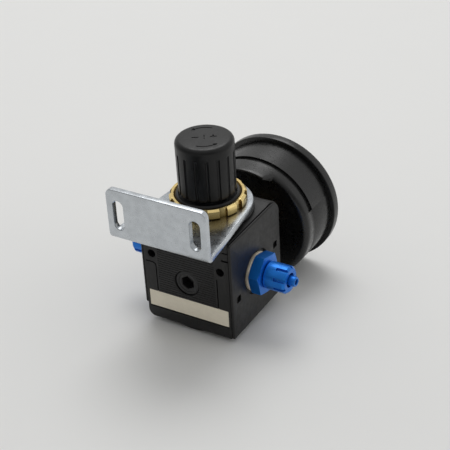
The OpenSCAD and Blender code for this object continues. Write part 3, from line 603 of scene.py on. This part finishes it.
def make_ring_nut():
    low, top = nut_low.z, nut_high.z
    outer, inner = 14.9, neck_r + 0.03
    count, first, half, depth = 12, radians(24), radians(6), 0.9
    corners = [(inner, low + 0.35), (inner + 0.35, low), (outer - 0.4, low, 0.1, "rim"),
               (outer, low + 0.4, 0.1, "rim"), (outer, top - 0.75, 0.12, "rim"),
               (outer - 0.8, top, 0.14, "rim"), (inner + 0.45, top, 0.08), (inner, top - 0.45)]

    def warp(tag, angle, radius, height):
        if tag == "rim" and off_centre(angle, count, first) <= half + 1e-6:
            return min(radius, outer - depth), height
        return radius, height

    nut = turned("notched_nut", corners, angles=notched(count, first, half, 6, 6), warp=warp, closed=True)
    fit(nut, MATERIALS["brass"], "root", ["ring_nut"])


def bend_up(mesh, bend_y, bend_z, bend_len, neutral, cuts=10):
    """Bends the blank up beyond bend_y, around a line at bend_z, with cuts across the bend."""
    bm = bmesh.new()
    bm.from_mesh(mesh)
    for k in range(cuts + 1):
        geometry = bm.verts[:] + bm.edges[:] + bm.faces[:]
        cut_y = (bend_y + bend_len * k / cuts) * MM
        bmesh.ops.bisect_plane(bm, geom=geometry, dist=1e-9, plane_co=(0, cut_y, 0), plane_no=(0, 1, 0))
    for vert in bm.verts:
        x, along, height = vert.co / MM
        radius = neutral - height
        if along <= bend_y:
            place = (x, along, bend_z - radius)
        elif along < bend_y + bend_len:
            angle = (along - bend_y) / neutral
            place = (x, bend_y + radius * sin(angle), bend_z - radius * cos(angle))
        else:
            place = (x, bend_y + radius, bend_z + along - bend_y - bend_len)
        vert.co = Vector(place) * MM
    bm.to_mesh(mesh)
    bm.free()


def make_bracket():
    """A flat blank with rounded edges, bent up along one line."""
    half, wall_y, top = edges("bracket")[1]
    sheet, round_r, bend_outer, corner = 2.5, 17.2, 3.0, 2.7
    slot_x, slot_z, slot_w, slot_len = 16.3, 58, 4.5, 12.2
    neutral = bend_outer - sheet / 2
    bend_y = wall_y - bend_outer
    bend_z = boss_top + bend_outer
    bend_len = neutral * pi / 2
    wall_start = bend_y + bend_len
    end = wall_start + top - bend_z
    # The straight sides leave the round end where they touch it
    touch = atan2(bend_y, half) - acos(round_r / hypot(half, bend_y))
    arc = [(round_r * cos(a), round_r * sin(a))
           for a in [touch - (pi + 2 * touch) * k / 48 for k in range(48, -1, -1)]]
    outline = rounded([*arc, (half, bend_y), (half, end, corner), (-half, end, corner), (-half, bend_y)],
                      steps=8)
    holes = [circle(0, 0, neck_r + 0.35, 96)]
    holes += [slot_outline(side * slot_x, wall_start + slot_z - bend_z, slot_w, slot_len)
              for side in (-1, 1)]
    bracket = plate("angle_bracket", outline, -sheet / 2, sheet / 2, holes, edge=0.35, steps=4)
    bend_up(bracket.data, bend_y, bend_z, bend_len, neutral)
    fit(bracket, MATERIALS["zinc_steel"], "root", ["bracket"], smooth=30)


# ---------- body covers ----------

HOLE_X, HOLE_Z, HOLE_R = 15.2, 32.0, 1.7
FRONT_EDGE, CORNER = 5.5, 3.0


def make_rear_cover():
    low, high = rear_low, rear_high
    outline = rounded([(low.x + 0.1, low.z, 0.6), (high.x, low.z, CORNER), (high.x, high.z, 0.5),
                       (low.x + 0.1, high.z, 0.5)], steps=6)
    plug_hole = 5.4
    holes = [circle(0, port_z, plug_hole, 64)]
    holes += [circle(s * HOLE_X, HOLE_Z, HOLE_R, 40) for s in (-1, 1)]
    cover = plate("ribbed_rear_cover", outline, -high.y, -low.y, holes, edge=0.05, low_edge=0.35,
                  hole_edge=0.14, place=FACE)
    face, deep = high.y + 1, high.y
    panel_x, panel_low, panel_top, line = 13.6, 14.4, 28.2, 0.5
    label_x, label_low, label_high = 17.9, 7.3, 14.8
    seat_d, gap_d, inlet_d, outlet_d, rib_d = 0.5, 0.7, 0.6, 0.45, 0.16
    # The label's seat, with a deeper line under it
    tools = [block((-label_x, deep - seat_d, label_low), (label_x, face, label_high)),
             block((-label_x, deep - gap_d, label_low - 0.4), (label_x, face, label_low + 0.1))]
    # A line beside each side panel; at the outlet side's panel it turns the corner
    bend = 1.6
    tools.append(block((-panel_x - line / 2, deep - inlet_d, panel_low),
                       (line / 2 - panel_x, face, panel_top)))
    tools.append(block((panel_x - line / 2, deep - outlet_d, panel_low),
                       (panel_x + line / 2, face, panel_top - bend)))
    tools.append(block((panel_x + bend, deep - outlet_d, panel_top - line / 2),
                       (high.x - 0.8, face, panel_top + line / 2)))
    tools.append(plate("cutter", arc_band(bend, line, pi / 2, pi, 8), -face, outlet_d - deep, edge=0,
                       place=FACE @ Matrix.Translation((panel_x + bend, panel_top - bend, 0))))
    # Two gaps around the snap tab at each side: (height, width, length)
    for s in (-1, 1):
        for z, gap, length in ((37.2, 0.8, 3.0), (40.9, 0.5, 2.6)):
            a, b = sorted((s * (high.x - length), s * (high.x + 1)))
            tools.append(block((a, deep - gap_d, z), (b, face, z + gap)))
    combine(cover, tools)
    first_z, pitch, groove, count = panel_low + 1.2, 1.05, 0.4, 27
    combine(cover, [block((1 - panel_x, deep - rib_d, z), (panel_x - 1, face, z + groove))
                    for z in [first_z + k * pitch for k in range(count)]])
    fit(cover, MATERIALS["cover_plastic"], "root", ["rear_cover"])


def make_front_cover():
    low, high = front_low, front_high
    reach = high.y
    section = rounded([(low.y, low.z, 0.3), (low.y, high.z, FRONT_EDGE), (reach, high.z, 0.1),
                       (reach, high.z - skin), (low.y + skin, high.z - skin, FRONT_EDGE - skin),
                       (low.y + skin, low.z)], steps=10)
    cover = plate("front_cover_shell", section, low.x, high.x, edge=0.12, place=SIDE)
    face, gauge_hole, through = low.y - 1, 9.0, 6
    line_x, line_half, groove_x, groove, pitch = 13.6, 0.2, 11, 0.45, 1
    tools = [rod((0, low.y, port_z), (0, 1, 0), gauge_hole, through, 64)]
    tools += [rod((s * HOLE_X, low.y, HOLE_Z), (0, 1, 0), HOLE_R, through) for s in (-1, 1)]
    tools += [block((s * line_x - line_half, face, 8), (s * line_x + line_half, low.y + 0.3, 36))
              for s in (-1, 1)]
    # Ribbed fields under and over the gauge's hole
    for first, count in ((5.5, 6), (34.5, 5)):
        for z in [first + k * pitch for k in range(count)]:
            tools.append(block((-groove_x, face, z), (groove_x, low.y + 0.25, z + groove)))
    combine(cover, tools)
    fit(cover, MATERIALS["cover_plastic"], "root", ["front_cover"])


def make_side_plate(side, node):
    low, high = edges(node)
    top = high.z - 0.25
    outline = rounded([(low.y, low.z, 1.0), (high.y, low.z, 0.9), (high.y, top, 1.0),
                       (low.y, top, FRONT_EDGE)], steps=10)
    recess, window_half = 9.2, 1.4
    holes = [circle(0, port_z, recess, 72)]
    for y, z in ((-14.9, 25.9), (14.3, 18.4)):
        holes.append(rectangle(y - window_half, z - window_half, y + window_half, z + window_half, 0.15))
    edge, inner = 0.6, 0.35
    cover = plate(node + "_shell", outline, low.x, high.x, holes, edge=edge if side > 0 else inner,
                  low_edge=inner if side > 0 else edge, hole_edge=0.12, place=SIDE, steps=5)
    fit(cover, MATERIALS["cover_plastic"], "root", [node])


def make_label():
    low, high = edges("label_strip")
    label = plate("blank_label", rectangle(low.x, low.z, high.x, high.z, 0.25), -high.y, -low.y, edge=0.03,
                  low_edge=0.08, place=FACE)
    fit(label, MATERIALS["label_paper"], "root", ["label_strip"])


def make_base_cap():
    low, high = edges("base_cap")
    flange, radius, panel_z = bottom, high.x, low.z + 0.2
    wall_r, seal_r, seal_low, seal_high = 9.95, 8.45, 5.4, 7.1
    guide_r, tube_r, floor_z, wall_top = 2.46, 4.6, 4, 8.9
    corners = [(0, floor_z), (guide_r, floor_z), (guide_r, high.z, 0.1), (tube_r, high.z, 0.3),
               (tube_r, wall_top), (wall_r, wall_top, 0.4), (wall_r, seal_high), (seal_r, seal_high),
               (seal_r, seal_low), (wall_r, seal_low), (wall_r, flange), (radius, flange),
               (radius, low.z, 0.6), (15.6, low.z, 0.1), (15.4, panel_z, 0.1), (10.2, panel_z, 0.1),
               (10, low.z, 0.1), (0, low.z)]
    cap = turned("round_base_cap", corners)
    key_x, key_r = 12.5, 1.25
    combine(cap, [rod((s * key_x, 0, 0), (0, 0, 1), key_r, 3, 32) for s in (-1, 1)])
    fit(cap, MATERIALS["cover_plastic"], "root", ["base_cap"])


# ---------- plug and tube fittings ----------

def make_plug():
    low, high = edges("rear_port_plug")
    radius, thread_r, socket = high.x, 4.7, 2.9 * cos(pi / 6)
    floor, seat, dish_r = core_d - 3.9, core_d - 0.7, 4.0
    corners = [(0, low.y), (thread_r, low.y, 0.4), (thread_r, seat), (radius, seat),
               (radius, high.y, 0.3), (dish_r, high.y, 0.1), (dish_r - 0.25, high.y - 0.2, 0.1),
               (socket + 0.25, high.y - 0.2, 0, "hex"), (socket, high.y - 0.45, 0, "hex"),
               (socket, floor, 0, "hex"), (0, floor - 0.9)]

    def warp(tag, angle, r, h):
        return (r * hex_scale(angle, 0), h) if tag == "hex" else (r, h)

    plug = turned("socket_plug", corners, REAR, warp=warp)
    fit(plug, plug_steel, "root", ["rear_port_plug"])


def along_port(node):
    """Where a piece on the side ports' axis starts and ends, measured out from the middle."""
    return sorted(abs(corner.x) for corner in edges(node))


def make_fitting(side, name):
    start, end = along_port(name + "_fitting")
    hex_low, hex_high, flat = core_w + 1.5, half_w + 5, 7.5
    thread_r, nose_r, nozzle_r, bore = 4.7, 4.25, 2.0, 1.2
    hex_turn = radians(15) + pi / 6
    # The hexagon's outer face is a little conical outside face_r
    face_r, rise, nose_end = 6.9, 0.15, hex_high + 5.6

    def warp(tag, angle, r, h):
        across = flat * hex_scale(angle, hex_turn)
        if tag == "top":
            return across, hex_high - rise * (across - face_r)
        if tag == "low":
            return across, hex_low + 0.3 * (across - flat) + 0.05
        return r, h

    corners = [(bore, start), (thread_r, start, 0.4), (thread_r, hex_low),
               (flat - 0.1, hex_low), (flat, hex_low + 0.3, 0, "low"), (flat, hex_high - 1, 0, "top"),
               (face_r, hex_high, 0.1), (nose_r + 0.25, hex_high), (nose_r, hex_high + 0.2),
               (nose_r, nose_end, 0.3), (nozzle_r, nose_end), (nozzle_r, end - 0.5),
               (nozzle_r - 0.25, end, 0.08), (bore + 0.15, end, 0.05), (bore, end - 0.2)]
    fitting = turned(name + "_hex_fitting", corners, port_side(side), even(96, hex_turn % (TURN / 96)),
                     warp, closed=True)
    fit(fitting, MATERIALS["blue_aluminium"], "root", [name + "_fitting"], smooth=24)


def make_union_nut(side, name):
    start, end = along_port(name + "_union_nut")
    outer, nose_r, bore = 5.5, 4.55, 2.9
    slot_start = start + 4.4
    count, half, depth = 8, radians(7.2), 0.9
    first = TURN / count / 2
    corners = [(nose_r, start, 0.1), (outer - 0.3, start, 0.1), (outer, start + 0.3, 0.15),
               (outer, slot_start, 0.02), (outer, slot_start + 0.05, 0, "slot"),
               (outer, end - 0.9, 0.3, "slot"), (outer - 0.8, end, 0.15, "slot"), (bore + 0.15, end, 0.05),
               (bore, end - 0.2), (bore, end - 2.6), (nose_r, start + 5.9)]

    def warp(tag, angle, r, h):
        if tag == "slot" and off_centre(angle, count, first) <= half + 1e-6:
            return min(r, outer - depth), h
        return r, h

    nut = turned(name + "_tube_nut", corners, port_side(side), notched(count, first, half, 3, 8), warp,
                 closed=True)
    fit(nut, MATERIALS["blue_aluminium"], name + "_nut", [name + "_union_nut"], smooth=26)


def make_washer(side, name):
    start, end = core_w + 0.02, core_w + 1.49
    bore, radius = 4.75, 7.9
    washer = turned(name + "_sealing_ring", [(bore, start, 0.1), (radius, start, 0.35), (radius, end, 0.35),
                                             (bore, end, 0.1)], port_side(side), closed=True)
    fit(washer, MATERIALS["fibre_washer"], "root", [name + "_washer"])


# ---------- gauge ----------

bezel_low, bezel_high = edges("gauge_bezel")
gauge_front = -bezel_low.y
case_front = -edges("gauge_case")[0].y
rim_r = bezel_high.x
CASE_R, CASE_WALL = 26.1, 1.5
GAUGE_BACK = 31.0


def from_top(angle):
    """How far an angle is from straight up."""
    return abs((angle - pi / 2 + pi) % TURN - pi)


def make_gauge_case():
    """The case, with a groove round it and a lip that stands out to the rear at the top."""
    groove_half, stop_half, stop_end = radians(71.5), radians(19), radians(27)
    groove_y, groove_w, groove_d = 34.9, 2.8, 0.9
    lift, round_r, stop_r, stop_inner = 4.3, 2.3, 0.5, 24.9
    wall = 0.006
    inner, neck_hole, floor_y = CASE_R - CASE_WALL, 5.15, GAUGE_BACK + 2
    corners = [(neck_hole, floor_y), (neck_hole, GAUGE_BACK, 0.2),
               (CASE_R - round_r - 0.3, GAUGE_BACK, 0, "foot"),
               (CASE_R - round_r - 0.2, GAUGE_BACK, 0, "lift"),
               (CASE_R, GAUGE_BACK, round_r, "edge"), (CASE_R, groove_y, 0.06),
               (CASE_R, groove_y + 0.1, 0, "groove"), (CASE_R, groove_y + groove_w - 0.1, 0, "groove"),
               (CASE_R, groove_y + groove_w, 0.06), (CASE_R, case_front), (inner, case_front),
               (inner, floor_y, 0.6)]

    def warp(tag, angle, r, h):
        away = from_top(angle)
        if tag == "groove" and away <= groove_half + 1e-6:
            return r - groove_d, h
        # How far the round back edge has become the lip, fading out from stop_half to stop_end
        share = min(1, max(0, (stop_end - away) / (stop_end - stop_half)))
        share = share * share * (3 - 2 * share)
        if tag in ("foot", "lift"):
            wide = stop_inner + (0 if tag == "foot" else 0.3)
            return r + (wide - r) * share, h - (lift * share if tag == "lift" else 0)
        if tag == "edge":
            turn = atan2(r - CASE_R + round_r, GAUGE_BACK + round_r - h) / (pi / 2)
            part = min(1, 2 * turn) * pi / 2
            stop_h = GAUGE_BACK - lift + stop_r * (1 - cos(part))
            stop_h += max(0, 2 * turn - 1) * (lift + round_r - stop_r)
            near_r = CASE_R - stop_r * (1 - sin(part))
            return r + (near_r - r) * share, h + (stop_h - h) * share
        return r, h

    ends = [pi / 2 + s * (groove_half + k * wall) for s in (-1, 1) for k in (0, 1)]
    angles = sorted({round(a % TURN, 9) for a in even(180) + ends})
    case = turned("round_gauge_case", corners, GAUGE, angles, warp, closed=True, steps=8)
    fit(case, MATERIALS["gauge_black"], "root", ["gauge_case"], smooth=34)


def make_bezel():
    seat = CASE_R - CASE_WALL + 0.1
    window_front, bore = -edges("gauge_window")[0].y, rim_r - 4.1
    corners = [(seat, case_front + 0.02), (CASE_R - 0.1, case_front + 0.02, 0.1),
               (rim_r, case_front + 0.1, 0.3), (rim_r, gauge_front, 0.5), (rim_r - 0.6, gauge_front, 0.4),
               (rim_r - 2.8, gauge_front, 0.4), (bore, gauge_front - 1.4, 0.15),
               (bore, window_front + 0.02), (seat, window_front + 0.02)]
    bezel = turned("gauge_rim", corners, GAUGE, even(160), closed=True, steps=4)
    fit(bezel, MATERIALS["gauge_black"], "root", ["gauge_bezel"])


def make_window():
    low, high = edges("gauge_window")
    corners = [(0, -high.y), (high.x, -high.y, 0.1), (high.x, -low.y, 0.1), (0, -low.y)]
    window = turned("clear_window", corners, GAUGE, even(120))
    fit(window, MATERIALS["window"], "root", ["gauge_window"])


ZERO, SWEEP, SCALE_MARKS = radians(225), radians(270), 50


def number_outline(text, size, x, y, z):
    """Printed figures, a hair above the dial."""
    curve = bpy.data.curves.new("figures", "FONT")
    curve.body = text
    curve.size = size
    curve.align_x = "CENTER"
    curve.align_y = "CENTER"
    curve.extrude = 0.012
    curve.resolution_u = 4
    writer = bpy.data.objects.new("figures", curve)
    bpy.context.scene.collection.objects.link(writer)
    bpy.context.view_layer.update()
    mesh = bpy.data.meshes.new_from_object(writer.evaluated_get(bpy.context.evaluated_depsgraph_get()))
    bpy.data.objects.remove(writer)
    mesh.transform(Matrix.Scale(MM, 4) @ GAUGE @ Matrix.Translation((x, y, z)))
    bm = bmesh.new()
    bm.from_mesh(mesh)
    bmesh.ops.remove_doubles(bm, verts=bm.verts, dist=1e-8)
    bm.to_mesh(mesh)
    bm.free()
    return mesh


def scale_marks(face, outer):
    """The long, middle and short marks of the scale, printed a hair above the dial."""
    bm = bmesh.new()
    for k in range(SCALE_MARKS + 1):
        angle = ZERO - SWEEP * k / SCALE_MARKS
        long, width = (3.2, 0.32) if k % 10 == 0 else (2.3, 0.2) if k % 5 == 0 else (1.4, 0.12)
        matrix = Matrix.Rotation(angle, 4, "Z") @ Matrix.Translation((outer - long / 2, 0, face + 0.012))
        bmesh.ops.create_cube(bm, size=1, matrix=matrix @ Matrix.Diagonal((long, width, 0.022, 1)))
    return solid("dial_marks", bm, GAUGE)


def make_dial():
    low, high = edges("gauge_dial")
    face, back, radius = -low.y, -high.y, high.x
    shaft_hole, screw_x, screw_r = 1.0, 5.5, 0.6
    holes = [circle(0, 0, shaft_hole, 32)] + [circle(s * screw_x, 0, screw_r, 24) for s in (-1, 1)]
    dial = plate("printed_dial", circle(0, 0, radius, 120), back, face, holes, edge=0.05, place=GAUGE)
    fit(dial, MATERIALS["dial_white"], "root", ["gauge_dial"])
    outer, number_r, number_size = 21.6, 15.4, 3.6
    marks = scale_marks(face, outer)
    band = plate("band", arc_band(outer + 0.15, 0.14, ZERO - SWEEP, ZERO, 120), face + 0.001, face + 0.022,
                 edge=0.004, place=GAUGE)
    numbers = []
    for k in range(0, 11, 2):
        angle = ZERO - SWEEP * k / 10
        numbers.append(number_outline(str(k), number_size, number_r * cos(angle), number_r * sin(angle),
                                      face + 0.013))
    gather(marks.data, [band.data, *numbers])
    bpy.data.objects.remove(band)
    fit(marks, print_black, "root")


def make_pointer():
    low, high = edges("gauge_pointer")
    back, front, thick = -high.y, -low.y, 0.4
    bore, hub_r = 0.6, 1.9
    blade = [(-6.6, -1.45), (-6.0, -1.5), (0, -0.8), (8, -0.7), (17.5, -0.16), (17.5, 0.16),
             (8, 0.7), (0, 0.8), (-6.0, 1.5), (-6.6, 1.45)]
    spin = GAUGE @ Matrix.Rotation(ZERO, 4, "Z")
    pointer = plate("needle", blade, back, back + thick, edge=0.06, place=spin)
    hub = turned("hub", [(bore, back), (hub_r, back, 0.1), (hub_r, front, 0.25), (bore, front, 0.1)],
                 spin, even(48), closed=True)
    combine(pointer, [hub], "UNION")
    combine(pointer, [rod((0, -back, port_z), (0, 1, 0), bore, 6, 32)])
    fit(pointer, MATERIALS["pointer_black"], "pointer", ["gauge_pointer"])


# ---------- build every piece ----------

make_knob()
make_bonnet()
make_ring_nut()
make_bracket()
make_rear_cover()
make_front_cover()
make_side_plate(-1, "inlet_side_plate")
make_side_plate(1, "outlet_side_plate")
make_label()
make_base_cap()
make_plug()
for side, name in ((-1, "inlet"), (1, "outlet")):
    make_fitting(side, name)
    make_union_nut(side, name)
    make_washer(side, name)
make_gauge_case()
make_bezel()
make_window()
make_dial()
make_pointer()

# CAD nodes that stay take the finish of their slot, and the gauge's brass is turned about its own axis
slot_of = {part["node"]: part["material_slot"] for part in frame["record"]["subparts"]}
GAUGE_BRASS = {"gauge_socket", "pinion_shaft", "sector_gear", "movement_frame", "bourdon_tube"}
for node, piece in frame["nodes"].items():
    material = MATERIALS["gauge_brass" if node in GAUGE_BRASS else slot_of[node]]
    for holder in piece.material_slots:
        holder.material = material

# ---------- floor, light and camera ----------

# The part leans on the gauge's rim, so the floor slopes down from the base cap's edge to the rim
cap_edge = (edges("base_cap")[1].y - 0.4) * MM
rim_touch = Vector((0, -case_front, bezel_low.z - 0.05)) * MM
slope = atan2(-rim_touch.z, cap_edge - rim_touch.y)
tilt = Matrix.Rotation(slope, 4, "X")


def make_floor():
    mesh = bpy.data.meshes.new("floor")
    bm = bmesh.new()
    bmesh.ops.create_grid(bm, x_segments=8, y_segments=8, size=3.0)
    bm.to_mesh(mesh)
    bm.free()
    floor = bpy.data.objects.new("floor", mesh)
    bpy.context.scene.collection.objects.link(floor)
    floor.matrix_world = Matrix.Translation((0, cap_edge, -0.0001)) @ tilt
    mesh.materials.append(surface("floor_card", (0.80, 0.80, 0.79), 0.75, mottle=0.006, patch=4,
                                  grain=0.00001, grain_scale=900))


def soft_light(name, place, target, size, power):
    lamp = bpy.data.lights.new(name, "AREA")
    lamp.shape = "DISK"
    lamp.size = size
    lamp.energy = power
    holder = bpy.data.objects.new(name, lamp)
    bpy.context.scene.collection.objects.link(holder)
    holder.location = place
    holder.rotation_euler = (Vector(target) - Vector(place)).to_track_quat("-Z", "Y").to_euler()


def make_world():
    """Pale all round the gauge's side and overhead, darker on the bracket's side, as in a small studio."""
    world = bpy.data.worlds.new("studio")
    nodes = Nodes(world)
    parts = nodes.add("ShaderNodeSeparateXYZ", {
        "Vector": nodes.add("ShaderNodeTexCoord").outputs["Generated"]}).outputs
    front = nodes.ramp(parts["Y"], 0.75, -0.35)
    raised = nodes.ramp(parts["Z"], 0.25, 0.9)
    share = nodes.maths("MAXIMUM", front, raised)
    light = nodes.mix(share, (0.17, 0.17, 0.168, 1), (0.64, 0.64, 0.635, 1))
    glow = nodes.add("ShaderNodeBackground", {"Color": light, "Strength": 1.0})
    out = nodes.add("ShaderNodeOutputWorld")
    nodes.tree.links.new(glow.outputs["Background"], out.inputs["Surface"])
    bpy.context.scene.world = world


def make_camera():
    """Stands where the reference view was taken from, rolled a little."""
    azimuth, elevation, roll = radians(211.98), radians(32.16), radians(-3.52)
    target, distance = Vector((0.0036, -0.0166, 0.0275)), 0.5187
    back = Vector((cos(elevation) * sin(azimuth), -cos(elevation) * cos(azimuth), sin(elevation)))
    data = bpy.data.cameras.new("camera")
    data.lens = 103.5
    data.sensor_width = 36.0
    data.clip_start = 0.01
    data.dof.use_dof = False
    camera = bpy.data.objects.new("camera", data)
    bpy.context.scene.collection.objects.link(camera)
    turn = back.to_track_quat("Z", "Y").to_matrix().to_4x4()
    camera.matrix_world = (Matrix.Translation(target + back * distance) @ turn
                           @ Matrix.Rotation(roll, 4, "Z"))
    bpy.context.scene.camera = camera


make_floor()
make_world()
LIT = (0, 0, 0.02)
soft_light("key", (0.3, -0.6, 1.15), LIT, 0.9, 6.2)
soft_light("fill", (-1.0, -0.25, 0.8), LIT, 0.7, 0.4)
make_camera()
bpy.context.scene.view_settings.view_transform = "Standard"
